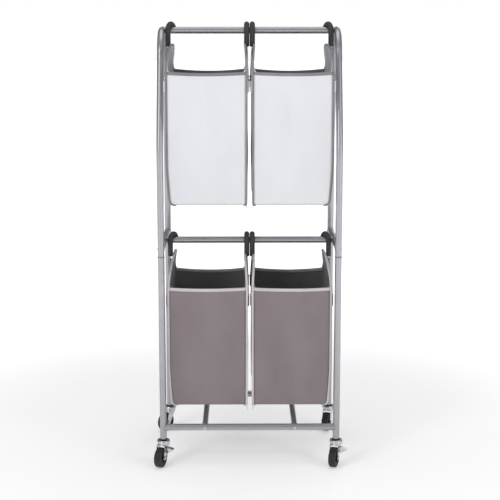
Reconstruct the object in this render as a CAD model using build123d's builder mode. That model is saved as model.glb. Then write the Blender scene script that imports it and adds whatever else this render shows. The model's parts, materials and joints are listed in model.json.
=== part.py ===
from build123d import *
import os
from math import atan2, cos, degrees, radians, sin, tan

# A two-tier laundry sorter on casters: a welded tube frame, two hanging bars, and four fabric
# bags that each hang from a pair of padded wire hangers.
# Millimetres. +X is the user's right, -Y is the front, +Z is up. The origin is on the floor,
# midway between the four posts.

os.makedirs("parts", exist_ok=True)

# ---------------------------------------------------------------- frame: driving sizes
post_spacing = 655.0  # left to right, between post centres
frame_depth = 400.0  # front to rear, between post centres
tube_radius = 12.5
tube_wall = 1.2
joint_height = 805.0  # where the upper hoops plug into the posts
upper_bar_height = 1630.0
lower_bar_height = 833.0
bottom_rail_height = 148.0

# side hoop: vertical legs, then a lean inwards, then a round crown
lean_angle = 17.0
lean_bend_radius = 400.0
crown_radius = 100.0

# tubes that tie the front and rear bottom rails together
floor_rail_radius = 11.0
floor_rail_spacing = 340.0

# plug inside each post joint
spigot_length = 80.0
spigot_wall = 1.5
plug_clearance = 0.05

# screws that hold the floor rails
screw_radius = 3.0
screw_head_radius = 6.0
screw_head_height = 3.0
screw_head_edge = 1.8
screw_hole_clearance = 0.2
rail_nut_length = 16.0
rail_nut_inset = 1.0  # nut to the rail it is drawn against

# ---------------------------------------------------------------- casters
wheel_radius = 37.5
tread_width = 26.0
hub_radius = 22.0
hub_width = 28.0
hub_boss_radius = 10.0
hub_web = 12.0  # thickness between boss and rim
hub_rim = 3.0
tyre_lip = 2.0  # how far the tread overhangs the hub's rim on each side
tyre_base = 5.0
tread_corner = 5.0
trail = 28.0  # swivel axis to axle
axle_radius = 4.0
running_clearance = 0.05
side_clearance = 1.0  # between the hub and each fork leg
sheet = 2.2  # fork sheet thickness
leg_end_radius = 9.0
leg_root_length = 38.0
leg_root_offset = 6.0
crown_gap = 6.0  # between the tread and the underside of the fork crown
race_radius = 23.0
race_height = 8.0
race_edge = 1.75
race_gap = 0.5  # between the fixed and the turning race
cup_radius = 25.0
cup_height = 10.0
cup_edge = 5.0
cup_to_socket = 1.5
kingpin_radius = 4.0
rivet_radius = 7.0
rivet_height = 2.0
stem_radius = 5.5
stem_length = 34.0
socket_flange = 3.0
socket_overhang = 1.0
nut_radius = 6.5
nut_height = 4.0
head_edge = 2.4
front_swivel = 20.0  # how far each caster has turned, from trailing straight forwards
rear_left_swivel = 38.0
rear_right_swivel = 18.0

# side brake on the front casters: a folded lever on a pin, with a pad that meets the tyre's side
brake_pin_radius = 1.5
brake_pin_along = 14.0  # from the swivel axis, along the trail
brake_pin_out = 4.0  # from the fork leg's face
brake_pin_height = 70.0
brake_ear_space = 5.5  # half the space between the two ears
brake_ear_size = 7.0
brake_plate = 2.0
brake_top = 6.0  # pin to the top of the lever
brake_heel = 3.0  # pin to the lever's inner end
brake_shoulder = 4.5  # pin to where the top starts to fall
brake_tip = 1.5  # half the height of the tip
brake_lip = 1.7  # top of the tip to the underside of the plate
brake_foot_near = 1.5  # pin to the near side of the foot that carries the pad
brake_foot_width = 3.5
brake_pin_overhang = 0.5
brake_reach = 26.0  # pin to the tip of the tab
brake_drop = 15.0  # pin to the bottom of the pad
brake_play = 0.4  # between an ear and a lever cheek
pad_width = 9.0
pad_height = 6.0
pad_back = 1.2  # pad face to the leg's inner face, when released
window_margin = 1.5

# ---------------------------------------------------------------- hangers
wire_radius = 3.25
grip_radius = 10.0
grip_gap = 1.0  # between the grips of neighbouring bags
grip_to_frame = 1.0  # between an outer grip and the tube beside it
grip_drop = 60.0  # bar centre to the grip's lower end
grip_end_rounding = 4.0
tip_cap = 4.0  # solid end of the grip beyond the wire
rest_gap = 0.3  # grip to the top of the bar
side_gap = 1.8  # grip to the front and rear of the bar
hook_tip_drop = 9.0  # bar centre to the hook's tip
outer_twist = 22.0  # the outer hooks turn inwards by this
junction_drop = 70.0  # bar centre to where the wire splits
shoulder_drop = 164.0  # bar centre to the wire's corner bends
junction_bend = 16.0
rear_leg_start = 4.0  # rear leg's root above the junction
shoulder_bend = 20.0
wire_tail = 46.0  # straight end of each wire, below the shoulder

# ---------------------------------------------------------------- bags
stem_to_bag = 0.75  # hanger's stem line to the bag's side
bag_depth = 375.0
bag_wall = 3.0
bag_corner = 12.0
bag_bottom_radius = 22.0
upper_bag_height = 490.0
lower_bag_height = 460.0
rim_drop = 148.0  # bar centre to the rim
flap_height = 104.0
flap_lean = 6.0  # the side flaps lean into the bag
flap_wall = 2.6
flap_shoulder = 68.0  # small radius of the flap's arch
sleeve_radius = 5.5
sleeve_length = 30.0
wire_to_bag = 5.0  # side wall's face to the wire's centre at the rim

# ---------------------------------------------------------------- worked out from those
half_spacing = post_spacing / 2
half_depth = frame_depth / 2
tube_bore = tube_radius - tube_wall
plug_radius = tube_bore - plug_clearance
fork_width = hub_width + 2 * side_clearance + 2 * sheet
crown_bottom = 2 * wheel_radius + crown_gap
race_top = crown_bottom + race_height
cup_bottom = race_top + race_gap
post_foot = cup_bottom + cup_height + cup_to_socket + socket_flange  # posts' lower ends
middle_gap = 2 * grip_radius + grip_gap  # between the stems of neighbouring bags
outer_stem = half_spacing - tube_radius - grip_to_frame - grip_radius
hanger_spacing = outer_stem - middle_gap / 2  # between the two stems of one bag
bag_width = hanger_spacing - 2 * stem_to_bag
bag_centre = (middle_gap + hanger_spacing) / 2
sides = (("left", -1), ("right", 1))
ends = (("front", -1), ("rear", 1))


def save(piece, name):
    """Label a finished piece and write its STEP file."""
    piece.part.label = name
    export_step(piece.part, f"parts/{name}.step")


def ring(outer, inner):
    """Section of a tube, in the current sketch."""
    Circle(outer)
    Circle(inner, mode=Mode.SUBTRACT)


# ================================================================ side hoops and posts
crown_peak = upper_bar_height + crown_radius / sin(radians(lean_angle)) - crown_radius
lean_corner = crown_peak - half_depth / tan(radians(lean_angle))


def hoop_path(x):
    """Centre line of a side hoop, from the front joint over the crown to the rear joint."""
    with BuildLine(Plane.YZ.offset(x)) as path:
        FilletPolyline(
            (-half_depth, joint_height),
            (-half_depth, lean_corner),
            (0, crown_peak),
            (half_depth, lean_corner),
            (half_depth, joint_height),
            radius=[lean_bend_radius, crown_radius, lean_bend_radius],
        )
    return path.wire()


for side_name, side in sides:
    with BuildPart() as upper_hoop:
        with BuildSketch(Plane.XY.offset(joint_height)):
            with Locations((side * half_spacing, -half_depth)):
                ring(tube_radius, tube_bore)
        sweep(path=hoop_path(side * half_spacing))
    save(upper_hoop, f"{side_name}_upper_hoop")

    for end_name, end in ends:
        with BuildPart() as post:
            with BuildSketch(Plane.XY.offset(post_foot)):
                with Locations((side * half_spacing, end * half_depth)):
                    ring(tube_radius, tube_bore)
            extrude(amount=joint_height - post_foot)
        save(post, f"{end_name}_{side_name}_post")

post_corners = [(x * half_spacing, y * half_depth) for _, x in sides for _, y in ends]

with BuildPart() as post_spigots:
    with BuildSketch(Plane.XY.offset(joint_height - spigot_length / 2)):
        with Locations(*post_corners):
            ring(plug_radius, plug_radius - spigot_wall)
    extrude(amount=spigot_length)
save(post_spigots, "post_spigots")

# ================================================================ rails and hanging bars
for side_name, side in sides:
    with BuildPart() as middle_rail:
        with BuildSketch(Plane.XZ.offset(-half_depth)):
            with Locations((side * half_spacing, lower_bar_height)):
                ring(tube_radius, tube_bore)
        extrude(amount=frame_depth)
        with BuildSketch(Plane.XY.offset(lower_bar_height - 2 * tube_radius)):
            with Locations(*post_corners):
                Circle(tube_radius)
        extrude(amount=4 * tube_radius, mode=Mode.SUBTRACT)
    save(middle_rail, f"{side_name}_middle_rail")

with BuildPart() as upper_hanging_bar:
    with BuildSketch(Plane.YZ.offset(-half_spacing)):
        with Locations((0, upper_bar_height)):
            ring(tube_radius, tube_bore)
    extrude(amount=post_spacing)
    for _, side in sides:
        with BuildSketch(Plane.XY.offset(joint_height)):
            with Locations((side * half_spacing, -half_depth)):
                Circle(tube_radius)
        sweep(path=hoop_path(side * half_spacing), mode=Mode.SUBTRACT)
save(upper_hanging_bar, "upper_hanging_bar")

with BuildPart() as lower_hanging_bar:
    with BuildSketch(Plane.YZ.offset(-half_spacing)):
        with Locations((0, lower_bar_height)):
            ring(tube_radius, tube_bore)
    extrude(amount=post_spacing)
    with BuildSketch(Plane.XZ.offset(-2 * tube_radius)):
        with Locations(*[(side * half_spacing, lower_bar_height) for _, side in sides]):
            Circle(tube_radius)
    extrude(amount=4 * tube_radius, mode=Mode.SUBTRACT)
save(lower_hanging_bar, "lower_hanging_bar")

floor_rail_places = [(side * floor_rail_spacing / 2, bottom_rail_height) for _, side in sides]

for end_name, end in ends:
    with BuildPart() as bottom_rail:
        with BuildSketch(Plane.YZ.offset(-half_spacing)):
            with Locations((end * half_depth, bottom_rail_height)):
                ring(tube_radius, tube_bore)
        extrude(amount=post_spacing)
        with BuildSketch(Plane.XY.offset(bottom_rail_height - 2 * tube_radius)):
            with Locations(*post_corners):
                Circle(tube_radius)
        extrude(amount=4 * tube_radius, mode=Mode.SUBTRACT)
        with BuildSketch(Plane.XZ.offset(-end * half_depth)):
            with Locations(*floor_rail_places):
                Circle(screw_radius + screw_hole_clearance)
        extrude(amount=2 * tube_radius, both=True, mode=Mode.SUBTRACT)
    save(bottom_rail, f"{end_name}_bottom_rail")

for side_name, side in sides:
    with BuildPart() as floor_rail:
        with BuildSketch(Plane.XZ.offset(-half_depth)):
            with Locations((side * floor_rail_spacing / 2, bottom_rail_height)):
                ring(floor_rail_radius, floor_rail_radius - tube_wall)
        extrude(amount=frame_depth)
        with BuildSketch(Plane.YZ.offset(side * floor_rail_spacing / 2)):
            with Locations(*[(end * half_depth, bottom_rail_height) for _, end in ends]):
                Circle(tube_radius)
        extrude(amount=2 * floor_rail_radius, both=True, mode=Mode.SUBTRACT)
    save(floor_rail, f"{side_name}_floor_rail")

# each nut is a plug just inside the end of a floor rail, and its screw crosses the bottom rail
nut_face = half_depth - tube_radius - rail_nut_inset

with BuildPart() as rail_nuts:
    for _, end in ends:
        with BuildSketch(Plane.XZ.offset(-end * nut_face)):
            with Locations(*floor_rail_places):
                ring(floor_rail_radius - tube_wall - plug_clearance, screw_radius + plug_clearance)
        extrude(amount=end * rail_nut_length)
save(rail_nuts, "rail_nuts")

with BuildPart() as frame_screws:
    for _, end in ends:
        with BuildSketch(Plane.XZ.offset(-end * (half_depth + tube_radius))):
            with Locations(*floor_rail_places):
                Circle(screw_head_radius)
        extrude(amount=-end * screw_head_height)
        with BuildSketch(Plane.XZ.offset(-end * (half_depth + tube_radius))):
            with Locations(*floor_rail_places):
                Circle(screw_radius)
        extrude(amount=end * (2 * tube_radius + rail_nut_length))
    outer_faces = frame_screws.faces().filter_by(Axis.Y).group_by(Axis.Y)
    fillet(outer_faces[0].edges() + outer_faces[-1].edges(), screw_head_edge)
save(frame_screws, "frame_screws")

# ================================================================ caster fittings in the posts
with BuildPart() as caster_sockets:
    with BuildSketch(Plane.XY.offset(post_foot)):
        with Locations(*post_corners):
            Circle(plug_radius)
    extrude(amount=stem_length + socket_flange)
    with BuildSketch(Plane.XY.offset(post_foot - socket_flange)):
        with Locations(*post_corners):
            Circle(tube_radius + socket_overhang)
    extrude(amount=socket_flange)
    with BuildSketch(Plane.XY.offset(post_foot - socket_flange)):
        with Locations(*post_corners):
            Circle(stem_radius + plug_clearance)
    extrude(amount=stem_length, mode=Mode.SUBTRACT)
save(caster_sockets, "caster_sockets")

# fixed race: a domed cup on a stem, with a kingpin that is riveted under the fork's crown
with BuildPart() as caster_stems:
    with BuildSketch(Plane.XY.offset(cup_bottom)):
        with Locations(*post_corners):
            Circle(cup_radius)
    extrude(amount=cup_height)
    fillet(caster_stems.edges().group_by(Axis.Z)[-1], cup_edge)
    with BuildSketch(Plane.XY.offset(cup_bottom)):
        with Locations(*post_corners):
            Circle(stem_radius)
    extrude(amount=post_foot - socket_flange + stem_length - plug_clearance - cup_bottom)
    with BuildSketch(Plane.XY.offset(crown_bottom - rivet_height)):
        with Locations(*post_corners):
            Circle(kingpin_radius)
    extrude(amount=cup_bottom - crown_bottom + rivet_height)
    with BuildSketch(Plane.XY.offset(crown_bottom - race_gap - rivet_height)):
        with Locations(*post_corners):
            Circle(rivet_radius)
    extrude(amount=rivet_height)
save(caster_stems, "caster_stems")


# ================================================================ casters
def side_plane(base, out):
    """Upright plane along a caster's trail, moved sideways by out; +X runs along the trail."""
    return Plane(origin=base.from_local_coords((0, out, 0)), x_dir=base.x_dir, z_dir=-base.y_dir)


def end_plane(base, along):
    """Upright plane across a caster's trail; +X runs towards the brake's side."""
    return Plane(origin=base.from_local_coords((along, 0, 0)), x_dir=base.y_dir, z_dir=base.x_dir)


brake_pin_side = fork_width / 2 + brake_pin_out
cheek_inside = brake_ear_space + brake_plate + brake_play
cheek_outside = cheek_inside + brake_plate


def make_fork(base, braked):
    """Pressed fork: a crown with a raised race, two legs, and the brake's ears and window."""
    with BuildPart() as fork:
        with BuildSketch(base.offset(crown_bottom)):
            Circle(race_radius)
            with Locations((leg_root_offset, 0)):
                Rectangle(leg_root_length, fork_width)
        extrude(amount=sheet)
        with BuildSketch(base.offset(crown_bottom)):
            Circle(race_radius)
        extrude(amount=race_height)
        fillet(fork.edges().group_by(Axis.Z)[-1], race_edge)
        for side in (-1, 1):
            with BuildSketch(side_plane(base, side * fork_width / 2)):
                with Locations((trail, wheel_radius)):
                    Circle(leg_end_radius)
                with Locations((leg_root_offset, crown_bottom + sheet / 2)):
                    Rectangle(leg_root_length, sheet)
                make_hull()
            extrude(amount=side * sheet)
        with BuildSketch(base.offset(crown_bottom)):
            Circle(kingpin_radius + running_clearance)
        extrude(amount=race_height, mode=Mode.SUBTRACT)
        with BuildSketch(side_plane(base, 0)):
            with Locations((trail, wheel_radius)):
                Circle(axle_radius + plug_clearance)
        extrude(amount=fork_width, both=True, mode=Mode.SUBTRACT)
        if braked:
            for turn in (-1, 1):
                with BuildSketch(end_plane(base, brake_pin_along + turn * brake_ear_space)):
                    with Locations((brake_pin_side, brake_pin_height)):
                        Circle(brake_ear_size / 2)
                    with Locations((fork_width / 2, brake_pin_height)):
                        Rectangle(sheet, brake_ear_size)
                    make_hull()
                    with Locations((brake_pin_side, brake_pin_height)):
                        Circle(brake_pin_radius + plug_clearance, mode=Mode.SUBTRACT)
                extrude(amount=turn * brake_plate)
            with BuildSketch(side_plane(base, fork_width / 2)):
                with Locations((brake_pin_along, brake_pin_height - brake_drop + pad_height / 2)):
                    Rectangle(pad_width + 2 * window_margin, pad_height + 2 * window_margin)
            extrude(amount=sheet, mode=Mode.SUBTRACT)
    return fork


def make_axle(base):
    """Axle bolt with a domed head on one side and a nut on the other."""
    with BuildPart() as axle:
        with BuildSketch(side_plane(base, fork_width / 2)):
            with Locations((trail, wheel_radius)):
                Circle(axle_radius)
        extrude(amount=fork_width)
        with BuildSketch(side_plane(base, -fork_width / 2)):
            with Locations((trail, wheel_radius)):
                Circle(nut_radius)
        extrude(amount=nut_height)
        head_end = axle.faces().sort_by(Axis(base.origin, base.y_dir))[0]
        fillet(head_end.edges(), head_edge)
        with BuildSketch(side_plane(base, fork_width / 2)):
            with Locations((trail, wheel_radius)):
                RegularPolygon(nut_radius, 6)
        extrude(amount=-nut_height)
    return axle


def axle_line(base):
    """Axis of a caster's axle."""
    return Axis(base.from_local_coords((trail, 0, wheel_radius)), base.y_dir)


def wheel_section_plane(base):
    """Plane through the axle: X along the axle, Y upwards, origin on the axle."""
    origin = base.from_local_coords((trail, 0, wheel_radius))
    return Plane(origin=origin, x_dir=base.y_dir, z_dir=base.x_dir)


def make_hub(base):
    """Wheel centre: boss, thinner web and a rim under the tyre."""
    bore = axle_radius + running_clearance
    with BuildPart() as hub:
        with BuildSketch(wheel_section_plane(base)):
            with Locations((0, (bore + hub_boss_radius) / 2)):
                Rectangle(hub_width, hub_boss_radius - bore)
            with Locations((0, (bore + hub_radius) / 2)):
                Rectangle(hub_web, hub_radius - bore)
            with Locations((0, hub_radius - hub_rim / 2)):
                Rectangle(tread_width - 2 * tyre_lip, hub_rim)
        revolve(axis=axle_line(base))
    return hub


def make_tyre(base):
    """Tyre with rounded shoulders, bonded round the hub."""
    with BuildPart() as tyre:
        with BuildSketch(wheel_section_plane(base)):
            with Locations((0, (hub_radius + wheel_radius) / 2)):
                RectangleRounded(tread_width, wheel_radius - hub_radius, tread_corner)
            with Locations((0, hub_radius + tyre_base / 2)):
                Rectangle(tread_width - 2 * tyre_lip, tyre_base)
        revolve(axis=axle_line(base))
    return tyre


def make_brake_lever(base):
    """Folded lever: two cheeks on the pin, a top plate, and a pad that reaches the window."""
    heel = brake_pin_side - brake_heel
    shoulder = brake_pin_side + brake_shoulder
    tip = brake_pin_side + brake_reach
    foot = brake_pin_side + brake_foot_near
    top = brake_pin_height + brake_top
    bottom = brake_pin_height - brake_drop
    foot_place = (foot + brake_foot_width / 2, bottom + pad_height / 2)
    pad_face = fork_width / 2 - sheet + pad_back
    with BuildPart() as lever:
        for turn in (-1, 1):
            with BuildSketch(end_plane(base, brake_pin_along + turn * cheek_inside)):
                with BuildLine():
                    Polyline(
                        (heel, top),
                        (shoulder, top),
                        (tip, brake_pin_height + brake_tip),
                        (tip, brake_pin_height - brake_tip),
                        (foot + brake_foot_width, bottom),
                        (foot, bottom),
                        (heel, brake_pin_height - brake_heel),
                        close=True,
                    )
                make_face()
                with Locations((brake_pin_side, brake_pin_height)):
                    Circle(brake_pin_radius + running_clearance, mode=Mode.SUBTRACT)
            extrude(amount=turn * brake_plate)
        with BuildSketch(end_plane(base, brake_pin_along - cheek_outside)):
            with BuildLine():
                Polyline(
                    (heel, top),
                    (shoulder, top),
                    (tip, brake_pin_height + brake_tip),
                    (tip, brake_pin_height - brake_tip),
                    (tip - brake_plate, brake_pin_height - brake_tip),
                    (tip - brake_plate, brake_pin_height + brake_tip - brake_lip),
                    (shoulder, top - brake_plate),
                    (heel, top - brake_plate),
                    close=True,
                )
            make_face()
            with Locations(foot_place):
                Rectangle(brake_foot_width, pad_height)
        extrude(amount=2 * cheek_outside)
        with BuildSketch(end_plane(base, brake_pin_along - pad_width / 2)):
            with Locations(((pad_face + foot_place[0]) / 2, foot_place[1])):
                Rectangle(foot_place[0] - pad_face, pad_height)
        extrude(amount=pad_width)
    return lever


def make_brake_pin(base):
    """Pin through both ears and both cheeks of the brake lever."""
    with BuildPart() as pin:
        with BuildSketch(end_plane(base, brake_pin_along)):
            with Locations((brake_pin_side, brake_pin_height)):
                Circle(brake_pin_radius)
        extrude(amount=cheek_outside + brake_pin_overhang, both=True)
    return pin


for side_name, side in sides:
    rear_swivel = rear_left_swivel if side < 0 else rear_right_swivel
    for end_name, end in ends:
        swivel = radians(front_swivel if end < 0 else rear_swivel)
        caster_base = Plane(
            origin=(side * half_spacing, end * half_depth, 0),
            x_dir=(-sin(swivel), -cos(swivel), 0),
            z_dir=(0, 0, 1),
        )
        caster_name = f"{end_name}_{side_name}"
        save(make_fork(caster_base, braked=end < 0), f"{caster_name}_fork")
        save(make_axle(caster_base), f"{caster_name}_axle")
        save(make_hub(caster_base), f"{caster_name}_hub")
        save(make_tyre(caster_base), f"{caster_name}_tyre")
        if end < 0:
            save(make_brake_lever(caster_base), f"{caster_name}_brake_lever")
            save(make_brake_pin(caster_base), f"{caster_name}_brake_pin")

# ================================================================ hangers
stem_set_back = tube_radius + side_gap + grip_radius  # stem's distance in front of the bar
wire_half_spread = bag_width / 2 + wire_to_bag
wire_corner = bag_depth / 2 - bag_corner - sleeve_radius


def hook_plane(stem_x, twist):
    """Upright plane of a hook, through its stem; +X runs over the bar, turned by twist."""
    over_bar = Vector(sin(radians(twist)), cos(radians(twist)), 0)
    return Plane(origin=(stem_x, -stem_set_back, 0), x_dir=over_bar, z_dir=over_bar.cross(Vector(0, 0, 1)))


def hook_path(stem_x, twist, bar_height, low_end, tip_end):
    """Centre line of a hook: up the stem, over the bar and down behind it."""
    bend = stem_set_back / cos(radians(twist))
    bend_height = bar_height + tube_radius + rest_gap + grip_radius - bend
    with BuildLine(hook_plane(stem_x, twist)) as path:
        Line((0, low_end), (0, bend_height))
        CenterArc((bend, bend_height), bend, 180, -180)
        Line((2 * bend, bend_height), (2 * bend, tip_end))
    return path.wire()


def make_hanger(stem_x, low_x, twist, bar_height):
    """Wire hanger: a hook over the bar and two legs that end beside the bag's corners."""
    junction = bar_height - junction_drop
    shoulder = bar_height - shoulder_drop
    stem_low_end = junction + 2 * junction_bend
    stem_point = Vector(stem_x, -stem_set_back, junction)
    wire_tip = bar_height - hook_tip_drop + tip_cap
    with BuildPart() as hanger:
        with BuildSketch(Plane.XY.offset(stem_low_end)):
            with Locations((stem_x, -stem_set_back)):
                Circle(wire_radius)
        sweep(path=hook_path(stem_x, twist, bar_height, stem_low_end, wire_tip))
        with BuildLine() as front_leg:
            FilletPolyline(
                (stem_x, -stem_set_back, stem_low_end),
                stem_point,
                (low_x, -wire_corner, shoulder),
                (low_x, -wire_corner, shoulder - wire_tail),
                radius=[junction_bend, shoulder_bend],
            )
        with BuildSketch(Plane(origin=front_leg.wire() @ 0, z_dir=front_leg.wire() % 0)):
            Circle(wire_radius)
        sweep(path=front_leg.wire())
        with BuildLine() as rear_leg:
            FilletPolyline(
                stem_point + Vector(0, 0, rear_leg_start),
                (low_x, wire_corner, shoulder),
                (low_x, wire_corner, shoulder - wire_tail),
                radius=[shoulder_bend],
            )
        with BuildSketch(Plane(origin=rear_leg.wire() @ 0, z_dir=rear_leg.wire() % 0)):
            Circle(wire_radius)
        sweep(path=rear_leg.wire())
    return hanger


def make_grip(stem_x, twist, bar_height):
    """Padded sleeve on a hook, closed and rounded at its tip."""
    low_end = bar_height - grip_drop
    tip_end = bar_height - hook_tip_drop
    with BuildPart() as grip:
        grip_line = hook_path(stem_x, twist, bar_height, low_end, tip_end)
        with BuildSketch(Plane.XY.offset(low_end)):
            with Locations((stem_x, -stem_set_back)):
                Circle(grip_radius)
        sweep(path=grip_line)
        rims = grip.edges().filter_by(GeomType.CIRCLE)
        tip_rim = rims.sort_by_distance(grip_line @ 1)[0]
        low_rim = rims.sort_by_distance(grip_line @ 0)[0]
        fillet([tip_rim, low_rim], grip_end_rounding)
        with BuildSketch(Plane.XY.offset(low_end)):
            with Locations((stem_x, -stem_set_back)):
                Circle(wire_radius + plug_clearance)
        wire_line = hook_path(stem_x, twist, bar_height, low_end, tip_end + tip_cap)
        sweep(path=wire_line, mode=Mode.SUBTRACT)
    return grip


# ================================================================ bags
flap_half_span = bag_depth / 2 - bag_corner
crown_drop = ((flap_half_span - flap_shoulder) ** 2 - (flap_height - flap_shoulder) ** 2) / (
    2 * (flap_height - flap_shoulder)
)
crown_half_turn = degrees(atan2(flap_half_span - flap_shoulder, crown_drop))


def make_bag(centre_x, rim_height, height):
    """Open fabric bag: rounded body, two arched side flaps and four corner sleeves."""
    floor_height = rim_height - height
    with BuildPart() as bag:
        with BuildSketch(Plane.XY.offset(floor_height)):
            with Locations((centre_x, 0)):
                RectangleRounded(bag_width, bag_depth, bag_corner)
        extrude(amount=height)
        fillet(bag.faces().sort_by(Axis.Z)[0].edges(), bag_bottom_radius)
        offset(amount=-bag_wall, openings=bag.faces().sort_by(Axis.Z)[-1])
        for side in (-1, 1):
            lean = radians(flap_lean)
            flap_foot = (centre_x + side * (bag_width - bag_wall) / 2, 0, rim_height)
            flap_plane = Plane(
                origin=flap_foot, x_dir=(0, 1, 0), z_dir=(cos(lean), 0, side * sin(lean))
            )
            with BuildSketch(flap_plane):
                with BuildLine():
                    small_turn = 90 - crown_half_turn
                    shoulder_x = flap_half_span - flap_shoulder
                    CenterArc((-shoulder_x, 0), flap_shoulder, 180, -small_turn)
                    crown_start = 90 + crown_half_turn
                    CenterArc(
                        (0, -crown_drop), flap_height + crown_drop, crown_start, -2 * crown_half_turn
                    )
                    CenterArc((shoulder_x, 0), flap_shoulder, small_turn, -small_turn)
                    Polyline(
                        (flap_half_span, 0),
                        (flap_half_span, -bag_wall / 2),
                        (-flap_half_span, -bag_wall / 2),
                        (-flap_half_span, 0),
                    )
                make_face()
            extrude(amount=flap_wall / 2, both=True)
        sleeve_top = rim_height + rim_drop - shoulder_drop - shoulder_bend
        sleeve_places = [
            (centre_x + side * wire_half_spread, end * wire_corner)
            for side in (-1, 1)
            for end in (-1, 1)
        ]
        with BuildSketch(Plane.XY.offset(sleeve_top - sleeve_length)):
            with Locations(*sleeve_places):
                Circle(sleeve_radius)
        extrude(amount=sleeve_length)
        with BuildSketch(Plane.XY.offset(sleeve_top - sleeve_length)):
            with Locations(*sleeve_places):
                Circle(wire_radius + plug_clearance)
        extrude(amount=sleeve_length, mode=Mode.SUBTRACT)
    return bag


tiers = (
    ("upper", upper_bar_height, upper_bag_height),
    ("lower", lower_bar_height, lower_bag_height),
)

for tier, bar_height, bag_height in tiers:
    for side_name, side in sides:
        bag_name = f"{tier}_{side_name}_bag"
        centre_x = side * bag_centre
        save(make_bag(centre_x, bar_height - rim_drop, bag_height), bag_name)
        for hanger_name, hanger_side in sides:
            stem_x = centre_x + hanger_side * hanger_spacing / 2
            low_x = centre_x + hanger_side * wire_half_spread
            twist = -side * outer_twist if hanger_side == side else 0.0
            hanger = make_hanger(stem_x, low_x, twist, bar_height)
            save(hanger, f"{bag_name}_{hanger_name}_hanger")
            grip = make_grip(stem_x, twist, bar_height)
            save(grip, f"{bag_name}_{hanger_name}_grip")
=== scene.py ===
# %% [markdown]
# # A laundry sorter on wheels
# The sorter is a frame of silver tube on four casters. Two bars cross it, and two cloth bags hang
# from each bar by padded wire hooks. The frame comes in as solid parts. This lesson gives those
# parts their finish, and makes the soft parts, the welds and the sewing around them.

# %% Load the frame
import bpy
import json
import math
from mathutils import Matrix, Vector, noise


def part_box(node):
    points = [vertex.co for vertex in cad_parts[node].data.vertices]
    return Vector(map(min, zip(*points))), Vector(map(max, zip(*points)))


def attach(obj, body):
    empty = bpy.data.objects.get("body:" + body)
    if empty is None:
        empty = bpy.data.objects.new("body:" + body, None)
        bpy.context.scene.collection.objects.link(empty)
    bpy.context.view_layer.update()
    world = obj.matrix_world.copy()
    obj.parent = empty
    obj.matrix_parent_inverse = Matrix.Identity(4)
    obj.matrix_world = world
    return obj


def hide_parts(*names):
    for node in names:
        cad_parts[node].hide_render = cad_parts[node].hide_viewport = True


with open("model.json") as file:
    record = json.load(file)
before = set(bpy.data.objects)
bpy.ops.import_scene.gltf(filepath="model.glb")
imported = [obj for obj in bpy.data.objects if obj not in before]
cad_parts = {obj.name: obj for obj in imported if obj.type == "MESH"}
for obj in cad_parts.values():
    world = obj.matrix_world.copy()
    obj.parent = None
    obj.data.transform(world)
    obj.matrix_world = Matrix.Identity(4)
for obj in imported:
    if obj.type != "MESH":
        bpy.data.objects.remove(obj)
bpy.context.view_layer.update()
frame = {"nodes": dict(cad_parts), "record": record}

# %% [markdown]
# ## Camera
# The sorter is tall, so a long lens keeps the posts nearly parallel. The camera stands as high as
# the upper bar, which shows a sliver of the upper bags' insides and more of the lower ones. A small
# negative shift slides the view down without tilting the camera any further, and is small enough
# that every other view stays whole.

# %% Camera
camera_data = bpy.data.cameras.new("camera")
camera_data.lens = 82.0
camera_data.shift_y = -0.05
camera = bpy.data.objects.new("camera", camera_data)
camera.location = (-0.0229, -4.3275, 1.626)
camera.rotation_euler = (math.radians(90 - 9.65), 0, math.radians(-0.33))
bpy.context.scene.collection.objects.link(camera)
bpy.context.scene.camera = camera
print("camera stands", round(-camera.location.y, 2), "m in front")

# %% [markdown]
# ## Studio
# Silver tube looks like silver only when it has something to mirror. A white room alone makes it
# chalky, so this room is bright in front and overhead and dim behind: each tube then shows a
# bright middle and darker edges. One background gives it, with a strength that follows the
# direction of the light. The camera itself sees plain white, which a Light Path node swaps in.

# %% Room light
room_dim = 0.08
room_bright = 0.48
room_brightest_way = (0.0, -0.62, 0.78)


def link(tree, source, target):
    """Joins two sockets of a node tree."""
    tree.links.new(source, target)


world = bpy.data.worlds.new("studio")
bpy.context.scene.world = world
world.use_nodes = True
sky = world.node_tree
sky.nodes.clear()
sky_out = sky.nodes.new("ShaderNodeOutputWorld")
sky_mix = sky.nodes.new("ShaderNodeMixShader")
sky_seen = sky.nodes.new("ShaderNodeBackground")
sky_seen.inputs["Color"].default_value = (1.0, 1.0, 1.0, 1.0)
sky_seen.inputs["Strength"].default_value = 1.0
sky_light = sky.nodes.new("ShaderNodeBackground")
sky_light.inputs["Color"].default_value = (0.97, 0.98, 1.0, 1.0)
sky_ray = sky.nodes.new("ShaderNodeLightPath")
sky_coord = sky.nodes.new("ShaderNodeTexCoord")
sky_toward = sky.nodes.new("ShaderNodeVectorMath")
sky_toward.operation = "DOT_PRODUCT"
sky_toward.inputs[1].default_value = room_brightest_way
sky_ramp = sky.nodes.new("ShaderNodeMapRange")
sky_ramp.inputs["From Min"].default_value = -0.55
sky_ramp.inputs["From Max"].default_value = 0.95
sky_ramp.inputs["To Min"].default_value = room_dim
sky_ramp.inputs["To Max"].default_value = room_bright
link(sky, sky_coord.outputs["Generated"], sky_toward.inputs[0])
link(sky, sky_toward.outputs["Value"], sky_ramp.inputs["Value"])
link(sky, sky_ramp.outputs["Result"], sky_light.inputs["Strength"])
link(sky, sky_ray.outputs["Is Camera Ray"], sky_mix.inputs[0])
link(sky, sky_light.outputs[0], sky_mix.inputs[1])
link(sky, sky_seen.outputs[0], sky_mix.inputs[2])
link(sky, sky_mix.outputs[0], sky_out.inputs["Surface"])
bpy.context.scene.view_settings.view_transform = "Standard"
print("room light runs from", room_dim, "to", room_bright)

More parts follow.
